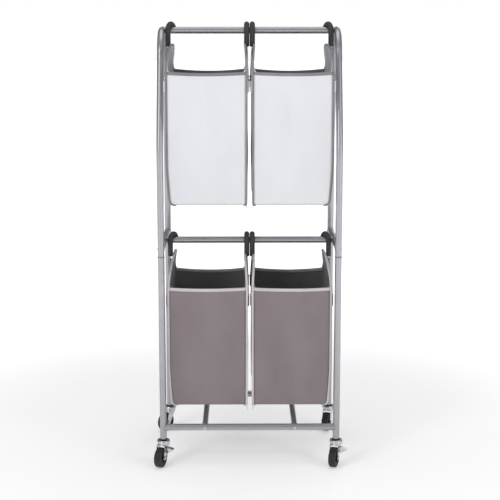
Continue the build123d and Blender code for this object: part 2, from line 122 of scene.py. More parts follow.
# %% [markdown]
# Four large panels stand round the sorter, as soft boxes do in a studio. They are area lamps and
# not a picture of a lit room, because each one can be moved and dimmed alone. The front left
# panel is the strongest, so the two sides of a bag differ in shade.

# %% Soft panels
def soft_panel(name, place, aim, width, height, watts):
    """A rectangular studio light that faces aim. Places and sizes are in metres."""
    data = bpy.data.lights.new(name, "AREA")
    data.shape = "RECTANGLE"
    data.size = width
    data.size_y = height
    data.energy = watts
    lamp = bpy.data.objects.new(name, data)
    lamp.location = place
    lamp.rotation_euler = (Vector(aim) - Vector(place)).to_track_quat("-Z", "Y").to_euler()
    bpy.context.scene.collection.objects.link(lamp)
    print(name, watts, "W")


soft_panel("key_panel", (-2.4, -3.0, 2.6), (0, 0, 0.9), 1.2, 2.4, 40)
soft_panel("fill_panel", (2.8, -2.6, 1.9), (0, 0, 0.9), 1.0, 2.4, 24)
soft_panel("top_panel", (0, 0.4, 4.0), (0, 0, 0.6), 2.6, 2.6, 26)
soft_panel("back_panel", (1.5, 3.4, 2.2), (0, 0, 0.9), 1.4, 2.4, 10)

# %% [markdown]
# The floor is one flat disc, so wide that its rim is lost in the distance from every side. A disc
# has no corners to show, and a flat floor needs no more than a single face.

# %% Floor
floor_reach = 60.0
floor_sides = 96
floor_turns = [math.tau * i / floor_sides for i in range(floor_sides)]
floor_rim = [(floor_reach * math.cos(turn), floor_reach * math.sin(turn), 0) for turn in floor_turns]
floor_mesh = bpy.data.meshes.new("floor")
floor_mesh.from_pydata(floor_rim, [], [list(range(floor_sides))])
floor = bpy.data.objects.new("floor", floor_mesh)
bpy.context.scene.collection.objects.link(floor)
print("floor radius", floor_reach, "m")

# %% [markdown]
# ## Finishes
# Each finish is one Principled shader. What changes over the surface, such as grain or weave,
# comes from noise or waves measured in metres on the part itself. What is the same all over is
# typed straight into the shader.

# %% Finish helpers
noise_low = 0.3  # the noise seldom falls below this
noise_high = 0.7  # and seldom rises above this


def new_finish(name, colour, roughness, metallic=0.0):
    """A material with one Principled shader; returns material, tree, shader and coordinates."""
    material = bpy.data.materials.new(name)
    material.use_nodes = True
    tree = material.node_tree
    shader = tree.nodes["Principled BSDF"]
    shader.inputs["Base Color"].default_value = (*colour, 1.0)
    shader.inputs["Roughness"].default_value = roughness
    shader.inputs["Metallic"].default_value = metallic
    coordinates = tree.nodes.new("ShaderNodeTexCoord")
    return material, tree, shader, coordinates.outputs["Object"]


def noise_value(tree, coordinates, scale, detail=3.0, stretch=(1, 1, 1)):
    """Noise from 0 to 1; scale is in cycles per metre."""
    mapping = tree.nodes.new("ShaderNodeMapping")
    mapping.inputs["Scale"].default_value = stretch
    grain = tree.nodes.new("ShaderNodeTexNoise")
    grain.inputs["Scale"].default_value = scale
    grain.inputs["Detail"].default_value = detail
    link(tree, coordinates, mapping.inputs["Vector"])
    link(tree, mapping.outputs["Vector"], grain.inputs["Vector"])
    return grain.outputs["Fac"]


def vary_number(tree, factor, socket, low, high):
    """Drives a number between low and high."""
    ramp = tree.nodes.new("ShaderNodeMapRange")
    ramp.inputs["From Min"].default_value = noise_low
    ramp.inputs["From Max"].default_value = noise_high
    ramp.inputs["To Min"].default_value = low
    ramp.inputs["To Max"].default_value = high
    link(tree, factor, ramp.inputs["Value"])
    link(tree, ramp.outputs["Result"], socket)


def vary_colour(tree, factor, socket, low, high):
    """Drives a colour between low and high."""
    ramp = tree.nodes.new("ShaderNodeValToRGB")
    ramp.color_ramp.elements[0].position = noise_low
    ramp.color_ramp.elements[0].color = (*low, 1)
    ramp.color_ramp.elements[1].position = noise_high
    ramp.color_ramp.elements[1].color = (*high, 1)
    link(tree, factor, ramp.inputs["Fac"])
    link(tree, ramp.outputs["Color"], socket)


def bump(tree, shader, height, distance, strength=1.0, under=None):
    """Adds a bump of that many metres, over another bump if one is given."""
    node = tree.nodes.new("ShaderNodeBump")
    node.inputs["Distance"].default_value = distance
    node.inputs["Strength"].default_value = strength
    link(tree, height, node.inputs["Height"])
    if under is not None:
        link(tree, under, node.inputs["Normal"])
    link(tree, node.outputs["Normal"], shader.inputs["Normal"])
    return node.outputs["Normal"]


# %% [markdown]
# ### Metals
# The tube is powder coated: a satin silver skin with a fine orange peel and a few dull patches.
# The hooks and the pressed parts of the casters are plated, and cloud over where hands touch
# them. A high metallic value with noise in the roughness gives both, in different amounts.

# %% Metals
def silver_paint():
    """Powder coat: a fine orange peel with a metallic flake and a few dull patches."""
    material, tree, shader, at = new_finish("silver_paint", (0.55, 0.55, 0.58), 0.36, 0.85)
    flake = noise_value(tree, at, 2600, 1)
    vary_colour(tree, flake, shader.inputs["Base Color"], (0.33, 0.33, 0.35), (0.45, 0.45, 0.475))
    patches = noise_value(tree, at, 22, 4)
    vary_number(tree, patches, shader.inputs["Roughness"], 0.30, 0.42)
    orange_peel = noise_value(tree, at, 420, 2)
    bump(tree, shader, orange_peel, 0.00012, 0.35)
    return material


def chrome(name, low, high):
    """Plating that clouds between two roughnesses."""
    material, tree, shader, at = new_finish(name, (0.74, 0.74, 0.76), 0.16, 1.0)
    cloud = noise_value(tree, at, 70, 5)
    vary_number(tree, cloud, shader.inputs["Roughness"], low, high)
    vary_colour(tree, cloud, shader.inputs["Base Color"], (0.50, 0.50, 0.52), (0.68, 0.68, 0.70))
    ripple = noise_value(tree, at, 260, 2)
    bump(tree, shader, ripple, 0.00015, 0.3)
    return material


finish = {
    "silver_paint": silver_paint(),
    "chrome_plate": chrome("chrome_plate", 0.10, 0.26),
    "chrome_wire": chrome("chrome_wire", 0.14, 0.24),
    "bare_steel": chrome("bare_steel", 0.26, 0.42),
}
print("metals:", list(finish))

# %% [markdown]
# ### Plastic, rubber and foam
# The hubs and sockets are moulded black plastic, the tyres are rubber and the hooks wear sleeves
# of dark foam. All three are dull and even, so one recipe serves: the rougher the stuff, the
# deeper its grain.

# %% Plastic, rubber and foam
def moulded(name, low, high, roughness, grain_scale, grain_depth):
    """Moulded plastic, rubber or foam, with an even grain."""
    material, tree, shader, at = new_finish(name, high, roughness)
    mottle = noise_value(tree, at, grain_scale / 3, 4)
    vary_colour(tree, mottle, shader.inputs["Base Color"], low, high)
    wear = noise_value(tree, at, 60, 3)
    vary_number(tree, wear, shader.inputs["Roughness"], roughness - 0.1, roughness + 0.1)
    grain = noise_value(tree, at, grain_scale, 3)
    bump(tree, shader, grain, grain_depth, 0.6)
    return material


finish["black_plastic"] = moulded(
    "black_plastic", (0.018, 0.018, 0.019), (0.030, 0.030, 0.032), 0.42, 900, 0.0002
)
finish["black_rubber"] = moulded(
    "black_rubber", (0.008, 0.008, 0.009), (0.019, 0.019, 0.020), 0.62, 700, 0.0003
)
finish["grey_grip"] = moulded(
    "grey_grip", (0.030, 0.028, 0.030), (0.048, 0.045, 0.048), 0.78, 1100, 0.0007
)
print("finishes so far:", list(finish))

# %% [markdown]
# ## Cloth
# The bags are plain woven polyester. The weave is two waves, one up the cloth and one along it.
# Along the cloth means x on the front and y on the sides, so x plus y serves for both and the
# threads turn the corner without a seam. A slow noise under the weave gives the cloth its small
# puckers, and a little sheen softens it where it turns away.

# %% Woven cloth
def woven(name, low, high, thread=0.0016, roughness=0.85, depth=0.0003):
    """Plain weave with a soft cloudy shade."""
    material, tree, shader, at = new_finish(name, high, roughness)
    shader.inputs["Sheen Weight"].default_value = 0.12
    shader.inputs["Sheen Roughness"].default_value = 0.5
    shade = noise_value(tree, at, 9, 4, (1, 1, 0.5))
    vary_colour(tree, shade, shader.inputs["Base Color"], low, high)
    split = tree.nodes.new("ShaderNodeSeparateXYZ")
    link(tree, at, split.inputs[0])
    around = tree.nodes.new("ShaderNodeMath")
    around.operation = "ADD"
    link(tree, split.outputs["X"], around.inputs[0])
    link(tree, split.outputs["Y"], around.inputs[1])
    waves = []
    for source in (around.outputs[0], split.outputs["Z"]):
        turn = tree.nodes.new("ShaderNodeMath")
        turn.operation = "MULTIPLY"
        turn.inputs[1].default_value = math.tau / thread
        link(tree, source, turn.inputs[0])
        wave = tree.nodes.new("ShaderNodeMath")
        wave.operation = "SINE"
        link(tree, turn.outputs[0], wave.inputs[0])
        waves.append(wave.outputs[0])
    weave = tree.nodes.new("ShaderNodeMath")
    weave.operation = "MULTIPLY"
    link(tree, waves[0], weave.inputs[0])
    link(tree, waves[1], weave.inputs[1])
    pucker = noise_value(tree, at, 55, 4, (1, 1, 0.35))
    under = bump(tree, shader, pucker, 0.0012, 0.35)
    bump(tree, shader, weave.outputs[0], depth, 0.5, under)
    return material


cloth = {
    "upper_body": woven("white_cloth", (0.71, 0.715, 0.745), (0.75, 0.755, 0.785)),
    # The upper inner face is painted shade: the white cloth made grey for the shadow in the bag.
    "upper_lining": woven("white_lining", (0.50, 0.495, 0.525), (0.57, 0.565, 0.595)),
    "upper_tape": woven("grey_tape", (0.200, 0.182, 0.190), (0.275, 0.252, 0.262), 0.0011, 0.8),
    "lower_body": woven("taupe_cloth", (0.222, 0.184, 0.194), (0.255, 0.216, 0.224)),
    # The lower inner face is a darker grey than the taupe outside.
    "lower_lining": woven("dark_lining", (0.175, 0.168, 0.174), (0.225, 0.214, 0.222)),
    "lower_tape": woven("pale_tape", (0.54, 0.505, 0.525), (0.66, 0.62, 0.64), 0.0011, 0.8),
}
print("cloths:", list(cloth))

# %% [markdown]
# ### Floor finish
# The floor is a pale matte sheet that runs out into the white room with no line between them.
# Light alone would leave it grey in the distance, so it also glows: less under the sorter, where
# the shadows have to show, and almost white from about three metres out. The distance is measured
# from the middle of the floor, so the sweep is the same from every side.

# %% Floor finish
glow_start = 0.9
glow_end = 3.2
glow_near = 0.36
glow_far = 0.95
floor_finish, floor_tree, floor_shader, floor_at = new_finish("floor", (0.93, 0.93, 0.93), 0.6)
floor_wear = noise_value(floor_tree, floor_at, 1.2, 2)
vary_number(floor_tree, floor_wear, floor_shader.inputs["Roughness"], 0.55, 0.7)
floor_shader.inputs["Emission Color"].default_value = (1.0, 1.0, 1.0, 1.0)
far = floor_tree.nodes.new("ShaderNodeVectorMath")
far.operation = "LENGTH"
link(floor_tree, floor_at, far.inputs[0])
glow = floor_tree.nodes.new("ShaderNodeMapRange")
glow.interpolation_type = "SMOOTHSTEP"
glow.inputs["From Min"].default_value = glow_start
glow.inputs["From Max"].default_value = glow_end
glow.inputs["To Min"].default_value = glow_near
glow.inputs["To Max"].default_value = glow_far
link(floor_tree, far.outputs["Value"], glow.inputs["Value"])
link(floor_tree, glow.outputs["Result"], floor_shader.inputs["Emission Strength"])
floor_mesh.materials.append(floor_finish)
print("floor glow", glow_near, "near,", glow_far, "far")

# %% [markdown]
# ## Painting the frame
# Every solid part carries the name of its finish in the record. Looking each one up by name is
# safer than painting by hand: a new part takes its finish by itself. The plain bags have no entry
# here, because sewn bags take their place below.

# %% Paint the frame's parts
slot_of = {part["node"]: part["material_slot"] for part in frame["record"]["subparts"]}
painted = [node_name for node_name in frame["nodes"] if slot_of[node_name] in finish]
for node_name in painted:
    for place in frame["nodes"][node_name].material_slots:
        place.material = finish[slot_of[node_name]]
print("painted", len(painted), "of", len(frame["nodes"]), "parts")

# %% [markdown]
# ## Bags
# A bag is one strip of cloth for its front, base and back, and two side panels with arched tops.
# It is drawn as one skin: columns run round the bag, and each column climbs from the base to that
# column's own top edge. A cloth simulation could drape it too, but it is slow and may settle
# against the hooks. So short rules push the cloth about instead: the walls belly out, the front
# and back rims dip between their corners, and noise gives the faces soft creases.

# %% Bag sizes
rim_below_bar = 0.148
bag_half_width = 0.146
welt_width = {"upper": 0.0068, "lower": 0.0085}
front_dip = 0.005
rear_dip = 0.009
crown_fold = 0.008
arch = 3.0
outer_lean = 0.015
inner_lean = 0.006
base_round = 0.024
inner_round = 0.010
end_round = 0.018
outer_taper = 0.008
inner_taper = 0.001
taper_height = 0.16
cloth_setback = 0.001
cloth_thickness = 0.0016
face_belly = 0.005
side_belly = 0.0065
crease_depth = 0.0026
pull_depth = 0.0009
base_sag = 0.003
print("welts", welt_width["upper"], "and", welt_width["lower"], "m wide")

# %% [markdown]
# The place, depth and height of a bag come from the box of its plain part, and its rim from the
# bar, so the sewn bag hangs where the plain one does. Every rule of its shape sits in one class:
# asked for a face, a place along it and a height, it answers with a point of the cloth.

# %% Shape of a bag
def smooth_step(t):
    """0 to 1 with a soft start and end."""
    t = max(0.0, min(1.0, t))
    return t * t * (3 - 2 * t)


class Bag:
    """Shape of one bag, from the box of its plain part and of its bar."""

    def __init__(self, tier, side_name):
        self.tier = tier
        self.name = f"{tier}_{side_name}_bag"
        low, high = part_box(self.name)
        bar_low, bar_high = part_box(f"{tier}_hanging_bar")
        self.centre = Vector(((low.x + high.x) / 2, 0, 0))
        self.base = low.z
        self.rim = (bar_low.z + bar_high.z) / 2 - rim_below_bar
        self.crown = high.z
        self.half_width = bag_half_width
        self.half_depth = (high.y - low.y) / 2
        self.seed = 3.7 * self.centre.x + (11.0 if tier == "upper" else 5.0)

    def outer(self, way):
        """True on the side that faces the frame's posts."""
        return way * self.centre.x > 0

    def inset(self, z, corner=base_round, taper=0.0):
        """How far a wall stands in at height z: a rounded base and a slight taper above it."""
        rise = z - self.base
        curl = 0.0
        if rise < corner:
            curl = corner - math.sqrt(max(0.0, corner**2 - (corner - rise) ** 2))
        return curl + taper * (1 - smooth_step(rise / taper_height))

    def side_inset(self, way, z):
        """Inset of a side wall; the side next to the other bag stays nearly straight."""
        if self.outer(way):
            return self.inset(z, base_round, outer_taper)
        return self.inset(z, inner_round, inner_taper)

    def wall(self, along, face, z):
        """A point of a wall. face is front, rear, left or right; along runs from -1 to 1."""
        inset = self.inset(z, end_round)
        share = (z - self.base) / (self.rim - self.base)
        climb = max(0.0, min(1.0, share))
        belly = math.sin(math.pi * climb) ** 1.2
        low_belly = math.sin(math.pi * climb**0.65) ** 2
        middle = max(0.0, 1 - along * along)
        layer = 1.7 if face in ("front", "rear") else 8.1
        crease = noise.noise(Vector((along * 2.2 + self.seed, z * 3.0, layer)))
        pull = noise.noise(Vector((along * 7.0, z * 1.6 + self.seed, 4.0)))
        fade = min(1.0, middle * 3)
        soft = (crease_depth * crease + pull_depth * pull) * fade * min(1.0, max(0.0, share) * 5)
        if face in ("front", "rear"):
            way = -1 if face == "front" else 1
            x = along * (self.half_width - self.side_inset(along, z))
            out = self.half_depth - inset - cloth_setback + (face_belly * low_belly * middle) + soft
            return Vector((self.centre.x + x, way * out, z))
        way = -1 if face == "left" else 1
        y = along * (self.half_depth - inset)
        out = self.half_width - self.side_inset(way, z)
        out = out + side_belly * low_belly * middle * belly**0.3 + soft * 0.6
        above = max(0.0, z - self.rim) / (self.crown - self.rim)
        lean = outer_lean if self.outer(way) else inner_lean
        out -= lean * min(1.0, above) ** 1.3
        return Vector((self.centre.x + way * out, y, z))

    def top(self, along, face):
        """Height of the cloth's top edge."""
        if face == "front":
            return self.rim - front_dip * (1 - along * along)
        if face == "rear":
            return self.rim - rear_dip * (1 - along * along)
        reach = min(1.0, abs(along))
        return self.rim + (self.crown - self.rim - crown_fold) * (1 - reach**arch) ** (1 / arch)

    def bottom_point(self, x_share, y_share):
        """A point of the base, which hangs a little in the middle."""
        fall = base_sag * (1 - x_share**2) * (1 - y_share**2)
        x = x_share * (self.half_width - self.side_inset(x_share, self.base))
        y = y_share * (self.half_depth - self.inset(self.base, end_round))
        return Vector((self.centre.x + x, y, self.base - fall))


bags = [Bag(tier, side_name) for tier in ("upper", "lower") for side_name in ("left", "right")]
for bag in bags:
    print(bag.name, "rim", round(bag.rim, 3), "base", round(bag.base, 3), "crown", round(bag.crown, 3))

# %% [markdown]
# ### Making pieces
# Every added piece is a list of points and a list of faces. One helper turns them into a smooth
# mesh, gives it its finish and lets it ride on a body, so it moves when that body moves. Welts,
# rims, hems and tails are all tape, so a second helper lays a rounded tape along any path.

# %% Mesh helpers
def piece(name, points, faces, materials, body):
    """Makes a mesh object with these materials that rides on a body."""
    mesh = bpy.data.meshes.new(name)
    mesh.from_pydata([tuple(p) for p in points], [], faces)
    mesh.validate()
    for material in materials:
        mesh.materials.append(material)
    mesh.polygons.foreach_set("use_smooth", [True] * len(mesh.polygons))
    made = bpy.data.objects.new(name, mesh)
    bpy.context.scene.collection.objects.link(made)
    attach(made, body)
    return made


def strip(path, across, thick, width, depth, closed=False, corners=8):
    """Points and faces of a rounded tape; across and thick are its directions at each point."""
    points = []
    faces = []
    count = len(path)
    for place, wide, deep in zip(path, across, thick):
        for step in range(corners):
            turn = math.tau * (step + 0.5) / corners
            reach_w = math.copysign(abs(math.cos(turn)) ** 0.6, math.cos(turn)) * width / 2
            reach_d = math.copysign(abs(math.sin(turn)) ** 0.6, math.sin(turn)) * depth / 2
            points.append(place + wide * reach_w + deep * reach_d)
    spans = count if closed else count - 1
    for i in range(spans):
        j = (i + 1) % count
        for step in range(corners):
            after = (step + 1) % corners
            faces.append((i * corners + step, i * corners + after, j * corners + after, j * corners + step))
    if not closed:
        faces.append(tuple(range(corners))[::-1])
        faces.append(tuple((count - 1) * corners + step for step in range(corners)))
    return points, faces


# %% [markdown]
# ### The skin
# Thirty columns on each side and 26 on the front and back are enough for the belly and the
# creases. Subdivision rounds the skin, and Solidify then gives it a thickness and a darker inner
# face. On the white upper bags that inner face is painted shade: the same white cloth, made grey
# for the shadow inside the bag. On the taupe lower bags it is a darker grey than the outside.

# %% Skin of a bag
face_columns = {"front": 26, "right": 30, "rear": 26, "left": 30}
wall_rows = 34
base_rings = 7


def skin(bag):
    """One open shell: walls with arched sides, and a base."""
    columns = []
    for face, count in face_columns.items():
        forward = face in ("front", "right")
        for i in range(count):
            share = (i + 0.5) / count
            along = (2 * share - 1) if forward else (1 - 2 * share)
            columns.append((face, along))
    points = []
    faces = []
    around = len(columns)
    for row in range(wall_rows + 1):
        climb = (row / wall_rows) ** 1.25
        for face, along in columns:
            z = bag.base + climb * (bag.top(along, face) - bag.base)
            points.append(bag.wall(along, face, z))
    for row in range(wall_rows):
        for i in range(around):
            j = (i + 1) % around
            low_left = row * around + i
            low_right = row * around + j
            faces.append((low_left, low_right, low_right + around, low_left + around))
    edge = points[:around]
    half_y = bag.half_depth - bag.inset(bag.base, end_round)
    last = 0
    for ring in range(1, base_rings):
        shrink = 1 - ring / base_rings
        start = len(points)
        for place in edge:
            way = 1 if place.x > bag.centre.x else -1
            half_x = bag.half_width - bag.side_inset(way, bag.base)
            x_share = (place.x - bag.centre.x) / half_x * shrink
            y_share = place.y / half_y * shrink
            points.append(bag.bottom_point(x_share, y_share))
        for i in range(around):
            j = (i + 1) % around
            faces.append((last + j, last + i, start + i, start + j))
        last = start
    points.append(bag.bottom_point(0, 0))
    for i in range(around):
        faces.append((last + (i + 1) % around, last + i, len(points) - 1))
    return points, faces


for bag in bags:
    points, faces = skin(bag)
    # The second material is the inner face; on the upper bags its grey is painted shade.
    tint = [cloth[f"{bag.tier}_body"], cloth[f"{bag.tier}_lining"]]
    cover = piece(f"{bag.name}_cloth", points, faces, tint, bag.name)
    rounding = cover.modifiers.new("rounding", "SUBSURF")
    rounding.levels = rounding.render_levels = 1
    inner_face = cover.modifiers.new("inner_face", "SOLIDIFY")
    inner_face.thickness = cloth_thickness
    inner_face.offset = -1
    inner_face.material_offset = 1
    inner_face.material_offset_rim = 0
    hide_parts(bag.name)
    print(cover.name, "faces", len(faces))

# %% [markdown]
# ### Bound edges
# Each side panel is sewn to the strip with its raw edges wrapped in tape, so a soft welt runs
# right round the panel: up the front corner, over the arch, down the back and along the base. A
# tape laid along that closed path follows every belly and dip of the cloth, which a modelled ring
# would have to be bent to do.

# %% Welts round the side panels
corner_steps = 26
arch_steps = 40
base_steps = 19
turn_steps = 8
welt_depth = 0.0062
welt_lift = 0.0006


def base_corner(bag, way, end, i):
    """A point of the rounded corner between an upright edge and the base."""
    turn = math.pi / 2 * (i + 1) / turn_steps
    z = bag.base + end_round - end_round * math.sin(turn)
    x = bag.centre.x + way * (bag.half_width - bag.side_inset(way, z))
    y = end * (bag.half_depth - end_round + end_round * math.cos(turn) - 0.001)
    return Vector((x, y, z))


def panel_edge(bag, face):
    """Closed path round a side panel: front corner, arch, rear corner and base."""
    way = -1 if face == "left" else 1
    low = bag.base + end_round
    heights = [low + (bag.rim - low) * i / corner_steps for i in range(corner_steps)]
    path = [bag.wall(-1, face, z) for z in heights]
    for i in range(arch_steps + 1):
        along = -math.cos(math.pi * i / arch_steps)
        path.append(bag.wall(along, face, bag.top(along, face)))
    path += [bag.wall(1, face, z) for z in reversed(heights)]
    rear_turn = [base_corner(bag, way, 1, i) for i in range(turn_steps - 1)]
    front_turn = [base_corner(bag, way, -1, i) for i in range(turn_steps - 1)]
    base_x = bag.centre.x + way * (bag.half_width - bag.side_inset(way, bag.base) - 0.001)
    base_line = []
    for i in range(base_steps):
        share = 1 - 2 * (i + 0.5) / base_steps
        y = share * (bag.half_depth - end_round - 0.004)
        base_line.append(Vector((base_x, y, bag.base + 0.001)))
    return path + rear_turn + base_line + front_turn[::-1]


def smoothed(path, rounds):
    """Evens out a closed path."""
    for _ in range(rounds):
        path = [(path[i - 1] + 2 * p + path[(i + 1) % len(path)]) / 4 for i, p in enumerate(path)]
    return path


for bag in bags:
    for face, way in (("left", -1), ("right", 1)):
        line = smoothed(panel_edge(bag, face), 2)
        sideways = Vector((way, 0, 0))
        thick = []
        for i in range(len(line)):
            ahead = (line[(i + 1) % len(line)] - line[i - 1]).normalized()
            thick.append(ahead.cross(sideways).normalized())
        line = [place + sideways * welt_lift for place in line]
        across = [sideways] * len(line)
        width = welt_width[bag.tier]
        points, faces = strip(line, across, thick, width, welt_depth, closed=True, corners=12)
        tape = [cloth[f"{bag.tier}_tape"]]
        piece(f"{bag.name}_{face}_welt", points, faces, tape, bag.name)
print("steps round a welt:", len(line))

# %% [markdown]
# The front and back rims are folded over in the same tape. It sits astride the raw edge, half the
# cloth's thickness in, and stops just short of the corners, where the welts cover its ends.

# %% Folded rims
rim_height = 0.012
rim_depth = 0.0046
rim_reach = 0.985
rim_steps = 40
for bag in bags:
    for face, way in (("front", 1), ("rear", -1)):
        inward = Vector((0, way, 0))
        line = []
        for i in range(rim_steps + 1):
            along = -rim_reach + 2 * rim_reach * i / rim_steps
            edge = bag.wall(along, face, bag.top(along, face) - rim_height * 0.42)
            line.append(edge + inward * cloth_thickness * 0.5)
        across = [Vector((0, 0, 1))] * len(line)
        thick = [inward] * len(line)
        points, faces = strip(line, across, thick, rim_height, rim_depth, corners=12)
        tape = [cloth[f"{bag.tier}_tape"]]
        piece(f"{bag.name}_{face}_rim_tape", points, faces, tape, bag.name)
print("rim tapes", rim_height, "m high")

# %% [markdown]
# ### Stitches
# A row of short stitches holds each tape. A bump in the finish would lie flat in a close view, so
# every stitch is a small rounded bar of thread, thin at both ends where it dives into the cloth.
# All the stitches of one bag share a mesh, because hundreds of separate pieces would be slow.

# %% Stitch helpers
stitch_rings = ((-0.5, 0.35), (-0.3, 1.0), (0.3, 1.0), (0.5, 0.35))  # place along, swell
stitch_corners = 6


def stitches(line, outward, spacing=0.0045, length=0.0029, thread=0.0004):
    """Small rounded bars of thread along a path, standing proud in the outward direction."""
    points = []
    faces = []
    travelled = 0.0
    due = spacing / 2
    for start, end, out in zip(line, line[1:], outward):
        gap = (end - start).length
        while travelled + gap >= due:
            middle = start.lerp(end, (due - travelled) / gap)
            ahead = (end - start).normalized()
            side = ahead.cross(out).normalized()
            first = len(points)
            for shift, swell in stitch_rings:
                for corner in range(stitch_corners):
                    turn = math.tau * corner / stitch_corners
                    ring = side * math.cos(turn) * thread + out * math.sin(turn) * thread
                    points.append(middle + ahead * shift * length + ring * swell)
            for ring_index in range(len(stitch_rings) - 1):
                ring_start = first + ring_index * stitch_corners
                for corner in range(stitch_corners):
                    a = ring_start + corner
                    b = ring_start + (corner + 1) % stitch_corners
                    faces.append((a, b, b + stitch_corners, a + stitch_corners))
            last = first + stitch_corners * (len(stitch_rings) - 1)
            faces.append(tuple(first + corner for corner in range(stitch_corners))[::-1])
            faces.append(tuple(last + corner for corner in range(stitch_corners)))
            due += spacing
        travelled += gap
    return points, faces


def merge(parts):
    """Joins several (points, faces) lists into one."""
    points = []
    faces = []
    for more_points, more_faces in parts:
        start = len(points)
        points += more_points
        faces += [tuple(start + i for i in face) for face in more_faces]
    return points, faces


# %% Stitches
rim_seam_steps = 60
arch_seam_steps = 90
for bag in bags:
    rows = []
    for face, way in (("front", -1), ("rear", 1)):
        out = Vector((0, way, 0))
        line = []
        for i in range(rim_seam_steps + 1):
            along = -0.96 + 1.92 * i / rim_seam_steps
            place = bag.wall(along, face, bag.top(along, face) - rim_height + 0.0016)
            line.append(place + out * 0.0020)
        rows.append(stitches(line, [out] * rim_seam_steps))
    for face, way in (("left", -1), ("right", 1)):
        out = Vector((way, 0, 0))
        line = []
        for i in range(arch_seam_steps + 1):
            along = -math.cos(math.pi * (0.04 + 0.92 * i / arch_seam_steps)) * 0.985
            place = bag.wall(along, face, bag.top(along, face) - 0.0012)
            line.append(place + out * (welt_width[bag.tier] / 2 + welt_lift))
        rows.append(stitches(line, [out] * arch_seam_steps))
        inside = [place - out * (welt_width[bag.tier] + 0.0002) for place in line]
        rows.append(stitches(inside, [-out] * arch_seam_steps))
    points, faces = merge(rows)
    tape = [cloth[f"{bag.tier}_tape"]]
    piece(f"{bag.name}_stitches", points, faces, tape, bag.name)
    print(bag.name, "stitch faces", len(faces))

# %% [markdown]
# ### Wire pockets
# Each leg of a wire hanger ends in a small cloth pocket, sewn on the outside of the side panel
# just under the rim. The pocket is a patch of the bag's cloth, flat at its seams and swollen over
# the wire. A grid of points, pushed out by a cosine, gives that shape and follows the panel.

# %% Wire pockets
wire_radius = 0.00325
pocket_columns = 14
pocket_rows = 12
pocket_close = 0.86  # share of the way down where the pocket starts to close
pocket_lip = 0.0022
pocket_half = 0.014
pocket_top = 0.030
pocket_bottom = 0.078
seam_lift = 0.0010
pocket_reach = bags[0].half_width + 0.0090  # just outside the wire, clear of the next bag
for bag in bags:
    for face in ("left", "right"):
        way = -1 if face == "left" else 1
        hanger_low, hanger_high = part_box(f"{bag.name}_{face}_hanger")
        for end in (-1, 1):
            wire_y = hanger_low.y + wire_radius if end < 0 else hanger_high.y - wire_radius
            points = []
            for row in range(pocket_rows + 1):
                drop = pocket_top + (pocket_bottom - pocket_top) * row / pocket_rows
                z = bag.rim - drop
                closed = smooth_step((row / pocket_rows - pocket_close) / (1 - pocket_close))
                for column in range(pocket_columns + 1):
                    share = 2 * column / pocket_columns - 1
                    y = wire_y + share * pocket_half
                    swell = math.cos(share * math.pi / 2) ** 1.6 * (1 - closed)
                    base = bag.wall(max(-0.97, min(0.97, y / bag.half_depth)), face, z)
                    room = max(0.0, pocket_reach - seam_lift - abs(base.x - bag.centre.x))
                    points.append(Vector((base.x + way * (seam_lift + room * swell), y, z)))
            faces = []
            for row in range(pocket_rows):
                for column in range(pocket_columns):
                    a = row * (pocket_columns + 1) + column
                    quad = (a, a + 1, a + pocket_columns + 2, a + pocket_columns + 1)
                    faces.append(quad if way < 0 else quad[::-1])
            end_name = "front" if end < 0 else "rear"
            name = f"{bag.name}_{face}_{end_name}_pocket"
            fabric = [cloth[f"{bag.tier}_body"]]
            pocket = piece(name, points, faces, fabric, bag.name)
            hem = pocket.modifiers.new("hem", "SOLIDIFY")
            hem.thickness = 0.0009
            hem.offset = 1
            mouth = points[: pocket_columns + 1]
            line = [point + Vector((way * 0.0006, 0, 0)) for point in mouth]
            up = [Vector((0, 0, 1))] * len(line)
            outward = [Vector((way, 0, 0))] * len(line)
            points, faces = strip(line, up, outward, 0.006, pocket_lip, corners=10)
            tape = [cloth[f"{bag.tier}_tape"]]
            piece(f"{name}_tape", points, faces, tape, bag.name)
print("pockets reach", round(pocket_reach, 4), "m from the middle of a bag")

# %% [markdown]
# ### Tape tails
# The welt between two neighbouring bags is cut long, and its loose end hangs below the corner.
# It is a short tape like the others, with a slow wave down its length that changes from bag to
# bag.

# %% Tape tails
tail_length = 0.030
tail_width = 0.008
tail_depth = 0.0024
tail_steps = 12
for bag in bags:
    way = -1 if bag.centre.x > 0 else 1
    tail_x = bag.centre.x + way * (bag.half_width - 0.001)
    for end, end_name in ((-1, "front"), (1, "rear")):
        start = Vector((tail_x, end * (bag.half_depth - 0.003), bag.base + 0.016))
        line = []
        for i in range(tail_steps + 1):
            fall = i / tail_steps
            wave = 0.0025 * math.sin(fall * 3.0 + bag.seed) * 0.4
            drift = Vector((way * 0.0018 * fall + wave, -end * 0.004 * fall**2, -tail_length * fall))
            line.append(start + drift)
        outward = [Vector((way, 0, 0))] * len(line)
        across = [Vector((0, 1, 0))] * len(line)
        points, faces = strip(line, across, outward, tail_width, tail_depth, corners=10)
        tape = [cloth[f"{bag.tier}_tape"]]
        piece(f"{bag.name}_{end_name}_tail", points, faces, tape, bag.name)
print("tails", tail_length, "m long")

# %% [markdown]
# ## Welds and joints
# Each bar is notched to fit the tube it meets and welded all round. The bead follows the line
# where the two tubes cross, and it ripples as a hand-laid bead does under the paint. The line of
# two crossing tubes can be worked out exactly, so the bead is drawn along it point by point.

# %% Weld beads
bead_radius = 0.0017
bead_lift = 0.0004
bead_steps = 72
bead_corners = 8


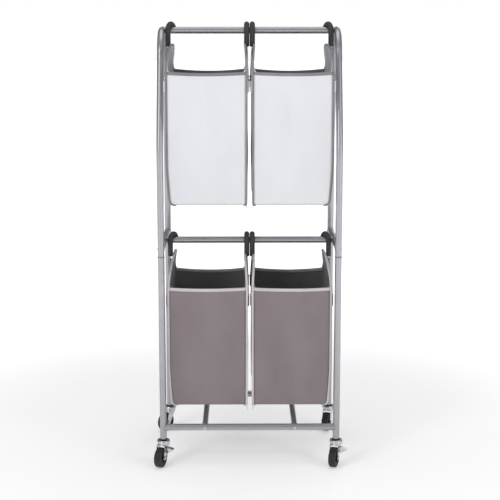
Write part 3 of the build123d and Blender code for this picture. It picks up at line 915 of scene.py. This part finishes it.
def weld(name, centre, along, tube_axis, bar_radius, tube_radius):
    """A rippled bead where a bar that runs along `along` meets a tube at `centre`."""
    third = tube_axis.cross(along)
    line = []
    for i in range(bead_steps):
        turn = math.tau * i / bead_steps
        sideways = bar_radius * math.sin(turn)
        reach = math.sqrt(max(0.0, tube_radius**2 - sideways**2)) + bead_lift
        rise = bar_radius * math.cos(turn)
        line.append(centre + along * reach + tube_axis * rise + third * sideways)
    points = []
    faces = []
    for i, place in enumerate(line):
        ahead = (line[(i + 1) % bead_steps] - line[i - 1]).normalized()
        out = (place - centre - along * (place - centre).dot(along)).normalized()
        side = ahead.cross(out).normalized()
        ripple = 0.16 * math.sin(i * math.tau / 3) + 0.12 * noise.noise(place * 400)
        for corner in range(bead_corners):
            turn = math.tau * corner / bead_corners
            way_out = out * math.cos(turn) + side * math.sin(turn)
            points.append(place + way_out * bead_radius * (1 + ripple))
    for i in range(bead_steps):
        start = i * bead_corners
        after = (i + 1) % bead_steps * bead_corners
        for corner in range(bead_corners):
            beside = (corner + 1) % bead_corners
            faces.append((start + corner, start + beside, after + beside, after + corner))
    piece(name, points, faces, [finish["silver_paint"]], "frame")


def middle_of(node_name, axis):
    """Middle of a part's box along one axis."""
    part_low, part_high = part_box(node_name)
    return (part_low[axis] + part_high[axis]) / 2


# %% Welds of the bars and rails
x_way = Vector((1, 0, 0))
y_way = Vector((0, 1, 0))
z_way = Vector((0, 0, 1))
post_low, post_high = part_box("front_right_post")
tube = (post_high.x - post_low.x) / 2
post_x = middle_of("front_right_post", 0)
post_y = abs(middle_of("front_right_post", 1))
floor_low, floor_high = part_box("right_floor_rail")
floor_tube = (floor_high.x - floor_low.x) / 2
floor_x = middle_of("right_floor_rail", 0)
upper_z = middle_of("upper_hanging_bar", 2)
lower_z = middle_of("lower_hanging_bar", 2)
rail_z = middle_of("front_bottom_rail", 2)
for way, side_name in ((-1, "left"), (1, "right")):
    inward = x_way * -way
    side = x_way * way * post_x
    weld(f"{side_name}_upper_bar_weld", side + z_way * upper_z, inward, y_way, tube, tube)
    weld(f"{side_name}_lower_bar_weld", side + z_way * lower_z, inward, y_way, tube, tube)
    for end, end_name in ((-1, "front"), (1, "rear")):
        corner = f"{side_name}_{end_name}"
        foot = side + y_way * end * post_y
        weld(f"{corner}_rail_weld", foot + z_way * rail_z, inward, z_way, tube, tube)
        weld(f"{corner}_middle_weld", foot + z_way * lower_z, y_way * -end, z_way, tube, tube)
        floor_end = Vector((way * floor_x, end * post_y, rail_z))
        weld(f"{corner}_floor_weld", floor_end, y_way * -end, x_way, floor_tube, tube)
print("tube radius", round(tube, 4), "m, posts at", round(post_x, 4), round(post_y, 4))

# %% [markdown]
# The hoops plug into the posts. A thin black ring between the two painted ends is painted shade:
# it stands for the dark line of shadow in the seam where the tube ends meet. Each end has a
# slightly rolled lip. All three are rings, so a small round profile is turned about the post's
# axis, as a lathe would do it.

# %% Post joints
joint_inset = 0.0003
# Size of the black ring that is painted shade for the shadow in the seam.
seam_shade_size = 0.0007
lip_size = 0.0011
lip_drop = 0.0017


def lathe(name, profile, centre, finish_name, sides=48):
    """Turns a closed (radius, height) profile round an upright axis."""
    points = []
    faces = []
    count = len(profile)
    for step in range(sides):
        turn = math.tau * step / sides
        for radius, height in profile:
            points.append(centre + Vector((radius * math.cos(turn), radius * math.sin(turn), height)))
    for step in range(sides):
        after = (step + 1) % sides
        for i in range(count):
            j = (i + 1) % count
            faces.append((step * count + i, after * count + i, after * count + j, step * count + j))
    piece(name, points, faces, [finish[finish_name]], "frame")


def bead_profile(radius, size, height, corners=10):
    """Round profile of a lip at a radius and height."""
    turns = [math.tau * i / corners for i in range(corners)]
    return [(radius + size * math.cos(turn), height + size * math.sin(turn)) for turn in turns]


for way, side_name in ((-1, "left"), (1, "right")):
    for end, end_name in ((-1, "front"), (1, "rear")):
        top = Vector((way * post_x, end * post_y, post_high.z))
        corner = f"{end_name}_{side_name}"
        # The black ring is painted shade: a dark band for the shadow in the seam.
        seam_shade_ring = bead_profile(tube - joint_inset, seam_shade_size, 0.0)
        lathe(f"{corner}_joint_washer", seam_shade_ring, top, "black_plastic")
        post_lip = bead_profile(tube - joint_inset, lip_size, -lip_drop)
        lathe(f"{corner}_post_lip", post_lip, top, "silver_paint")
        hoop_lip = bead_profile(tube - joint_inset, lip_size, lip_drop)
        lathe(f"{corner}_hoop_lip", hoop_lip, top, "silver_paint")
print("joints at", round(post_high.z, 4), "m")
